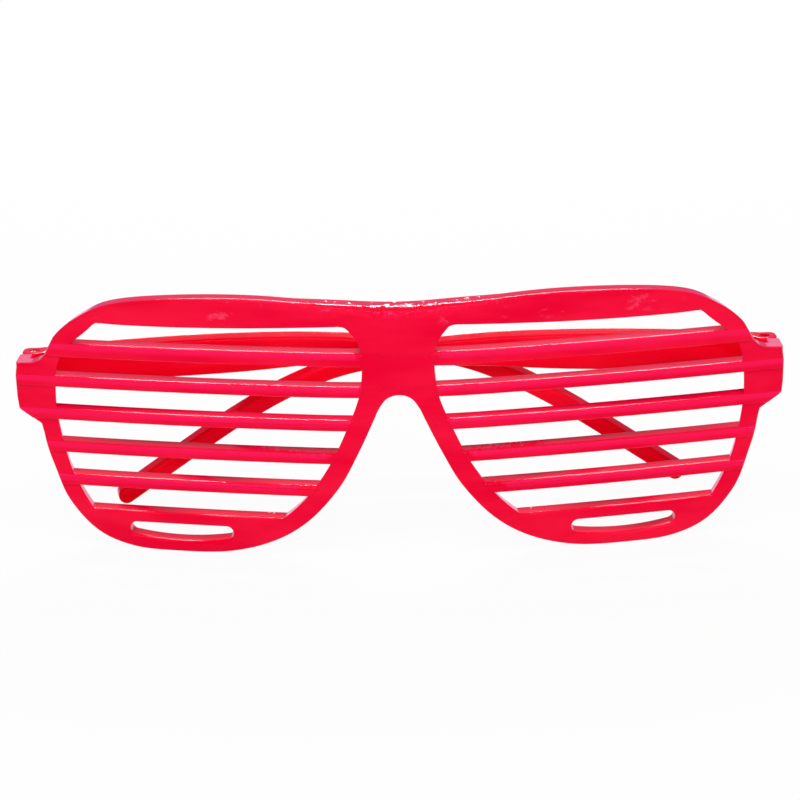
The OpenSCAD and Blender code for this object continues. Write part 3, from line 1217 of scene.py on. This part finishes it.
def pressed_patch(x, z):
    """Share of the pressed patch at the middle of the brow's upper edge."""
    return abs(x).fading(*PRESSED_X_END) * z.between(*PRESSED_Z)


def shade(colour, red, green, blue):
    """A colour with its red multiplied, and with some green and blue added."""
    return (min(colour[0] * red, 1), colour[1] + green, colour[2] + blue, 1)


def moulded_plastic(name, colour, tint, slatted=False):
    """Glossy moulded plastic with a fine ripple, flow marks and small scuffs. For the front it
    also has a painted highlight on the slats, painted glints on the brow and a painted
    reflection on the tops of the arms.
    """
    settings = bpy.context.scene.glasses_finish
    shader = Shader(name)
    axes = shader.node("ShaderNodeSeparateXYZ", {}, [shader.position()]).outputs
    x, y, z = (Wire(shader, axis) for axis in axes)
    near_bridge = abs(x).fading(*RIPPLE_X_END, least=0.12)
    ripple = shader.noise((1, 0.2, 0.2), size=0.0011, roughness=0.6) - 0.5
    ripple = ripple * near_bridge * (upper_edges(x, y, z) if slatted else 0.3)
    waviness = shader.noise((1, 1, 2.5), size=0.009, detail=1.0)
    flow = shader.noise((0.35, 1, 1.6), size=0.012, detail=3.0, roughness=0.6)
    scuffs = shader.noise((0.3, 1, 1), size=0.0016, detail=4.0, roughness=0.7)
    normal = shader.bump(ripple, settings.ripple_depth)
    normal = shader.bump(waviness, 0.15 * settings.ripple_depth, normal)
    deep = (*(channel * DEEP for channel in colour), 1)
    base = shader.mixed(flow.between(0.35, 0.7), deep, shade(colour, *PALE))
    if slatted:
        crumple = shader.noise((1, 0.6, 1), size=0.002) - 0.5
        normal = shader.bump(crumple * pressed_patch(x, z), 0.0007, normal)
        # Painted highlight: a paler pink band along the upper half of each slat
        base = shader.mixed(painted_slat_highlight(x, z), base, shade(colour, *SLAT_HIGHLIGHT_PAINT))
        # Painted glints: paler speckles on the brow's upper front, at half strength
        painted_brow_glints = shader.noise((0.5, 1, 1), size=0.0035, detail=4.0, roughness=0.7)
        painted_brow_glints = painted_brow_glints.between(0.57, 0.68) * z.between(*BROW_GLINT_PAINT_Z) * abs(x).between(*BROW_GLINT_PAINT_X)
        base = shader.mixed(painted_brow_glints * 0.5, base, shade(colour, *BROW_GLINT_PAINT))
        # Painted reflection: pale pink on the tops of the arms, broken into blotches by the flow
        # marks
        blotches = flow.between(0.3, 0.7, 0.85, 1.0)
        base = shader.mixed(painted_arm_top_reflection(x, y, z) * blotches, base, ARM_TOP_REFLECTION_PAINT)
    uneven = 0.03 * flow + 0.05 * scuffs.between(0.62, 0.8)
    return shader.surface(
        {
            "Base Color": base,
            "Roughness": settings.roughness + uneven,
            "IOR": PLASTIC_IOR,
            "Specular Tint": tint,
            "Sheen Weight": SHEEN_WEIGHT,
            "Sheen Roughness": SHEEN_ROUGHNESS,
            "Sheen Tint": (*settings.sheen_tint, 1),
            "Normal": normal,
        }
    )


def cut_steel(name, colour):
    """Drawn steel wire with fine lines along it."""
    shader = Shader(name)
    lines = shader.noise((1, 1, 0.05), size=0.00012, detail=3.0)
    marks = shader.noise((1, 1, 1), size=0.0005, detail=3.0)
    dark = (*(channel * 0.15 for channel in colour), 1)
    return shader.surface(
        {
            "Base Color": shader.mixed(marks.between(0.4, 0.6), dark, (*colour, 1)),
            "Metallic": 1.0,
            "Roughness": 0.28 + 0.2 * lines,
            "Normal": shader.bump(lines, 0.000004),
        }
    )


def seen_directly(tree):
    """Is Camera Ray, Is Glossy Ray or Is Transmission Ray, as one socket."""
    path = tree.nodes.new("ShaderNodeLightPath")
    total = path.outputs["Is Camera Ray"]
    for name in ("Is Glossy Ray", "Is Transmission Ray"):
        either = tree.nodes.new("ShaderNodeMath")
        either.operation = "MAXIMUM"
        tree.links.new(total, either.inputs[0])
        tree.links.new(path.outputs[name], either.inputs[1])
        total = either.outputs[0]
    return total


def make_world(settings):
    """Plain soft light from all round."""
    world = bpy.data.worlds.new("studio")
    world.use_nodes = True
    background = world.node_tree.nodes["Background"]
    background.inputs["Color"].default_value = (1, 1, 1, 1)
    background.inputs["Strength"].default_value = settings.ambient
    bpy.context.scene.world = world


def make_floor(settings):
    """Pale floor that keeps the shadow of the glasses."""
    bm = bmesh.new()
    bmesh.ops.create_grid(bm, x_segments=1, y_segments=1, size=FLOOR_HALF_SIZE)
    floor = to_object(bm, "floor")
    shader = Shader("pale floor")
    matt = shader.node("ShaderNodeBsdfDiffuse", {}, {"Color": (*settings.floor_colour, 1)})
    white = shader.node("ShaderNodeEmission", {}, {"Color": (1, 1, 1, 1)})
    share = Wire(shader, seen_directly(shader.tree)) * settings.floor_white
    mix = shader.node("ShaderNodeMixShader", {}, [share, matt.outputs[0], white.outputs[0]])
    shader.node("ShaderNodeOutputMaterial", {}, {"Surface": mix.outputs[0]})
    floor.data.materials.append(shader.material)


def make_lamp(name, place, watts, size):
    """Soft rectangular light that shines at the middle of the glasses."""
    data = bpy.data.lights.new(name, "AREA")
    data.energy = watts
    data.shape = "RECTANGLE"
    data.size, data.size_y = size
    lamp = bpy.data.objects.new(name, data)
    lamp.location = place
    towards = Vector(MIDDLE) - Vector(place)
    lamp.rotation_euler = towards.to_track_quat("-Z", "Y").to_euler()
    bpy.context.scene.collection.objects.link(lamp)


def make_camera(settings):
    """Camera at the photograph's viewing angle, tilted a little on its own axis."""
    place = Vector(CAMERA_PLACE)
    data = bpy.data.cameras.new("camera")
    data.sensor_width = SENSOR_WIDTH
    data.lens = settings.lens
    data.clip_start = 0.01
    camera = bpy.data.objects.new("camera", data)
    forward = (Vector(CAMERA_TARGET) - place).normalized()
    right = forward.cross(Vector((0, 0, 1))).normalized()
    up = right.cross(forward)
    tilted_right = math.cos(CAMERA_ROLL) * right + math.sin(CAMERA_ROLL) * up
    tilted_up = math.cos(CAMERA_ROLL) * up - math.sin(CAMERA_ROLL) * right
    axes = Matrix((tilted_right, tilted_up, -forward)).transposed()
    camera.matrix_world = Matrix.Translation(place) @ axes.to_4x4()
    bpy.context.scene.collection.objects.link(camera)
    bpy.context.scene.camera = camera


class GLASSES_OT_stage(bpy.types.Operator):
    """Make the floor, the lights and the camera"""

    bl_idname = "glasses.stage"
    bl_label = "Stage"

    def execute(self, context):
        settings = context.scene.glasses_stage
        make_world(settings)
        make_floor(settings)
        make_lamp("key", KEY_PLACE, settings.key_power, KEY_SIZE)
        make_lamp("back", BACK_PLACE, settings.back_power, BACK_SIZE)
        make_lamp("fill", FILL_PLACE, settings.fill_power, FILL_SIZE)
        make_camera(settings)
        context.scene.view_settings.view_transform = "Standard"
        return {"FINISHED"}


class GLASSES_PT_sidebar(bpy.types.Panel):
    """Steps and sizes of the party glasses"""

    bl_label = "Party Glasses"
    bl_idname = "GLASSES_PT_sidebar"
    bl_space_type = "VIEW_3D"
    bl_region_type = "UI"
    bl_category = "Glasses"

    def draw(self, context):
        for operator in OPERATORS:
            self.layout.operator(operator.bl_idname)
        for name in SETTINGS:
            box = self.layout.box()
            group = getattr(context.scene, name)
            for key in group.bl_rna.properties.keys():
                if key not in {"name", "rna_type"}:
                    box.prop(group, key)


OPERATORS = (GLASSES_OT_stage, GLASSES_OT_front, GLASSES_OT_temples, GLASSES_OT_pins)
SETTINGS = {
    "glasses_front": FrontSettings,
    "glasses_temples": TempleSettings,
    "glasses_finish": FinishSettings,
    "glasses_stage": StageSettings,
}


def register():
    for cls in (*SETTINGS.values(), *OPERATORS, GLASSES_PT_sidebar):
        bpy.utils.register_class(cls)
    for name, group in SETTINGS.items():
        setattr(bpy.types.Scene, name, PointerProperty(type=group))


def unregister():
    for name in SETTINGS:
        delattr(bpy.types.Scene, name)
    for cls in (GLASSES_PT_sidebar, *reversed(OPERATORS), *SETTINGS.values()):
        bpy.utils.unregister_class(cls)


def main():
    register()
    bpy.ops.glasses.stage()
    bpy.ops.glasses.front()
    bpy.ops.glasses.temples()
    bpy.ops.glasses.pins()


if __name__ == "__main__":
    main()
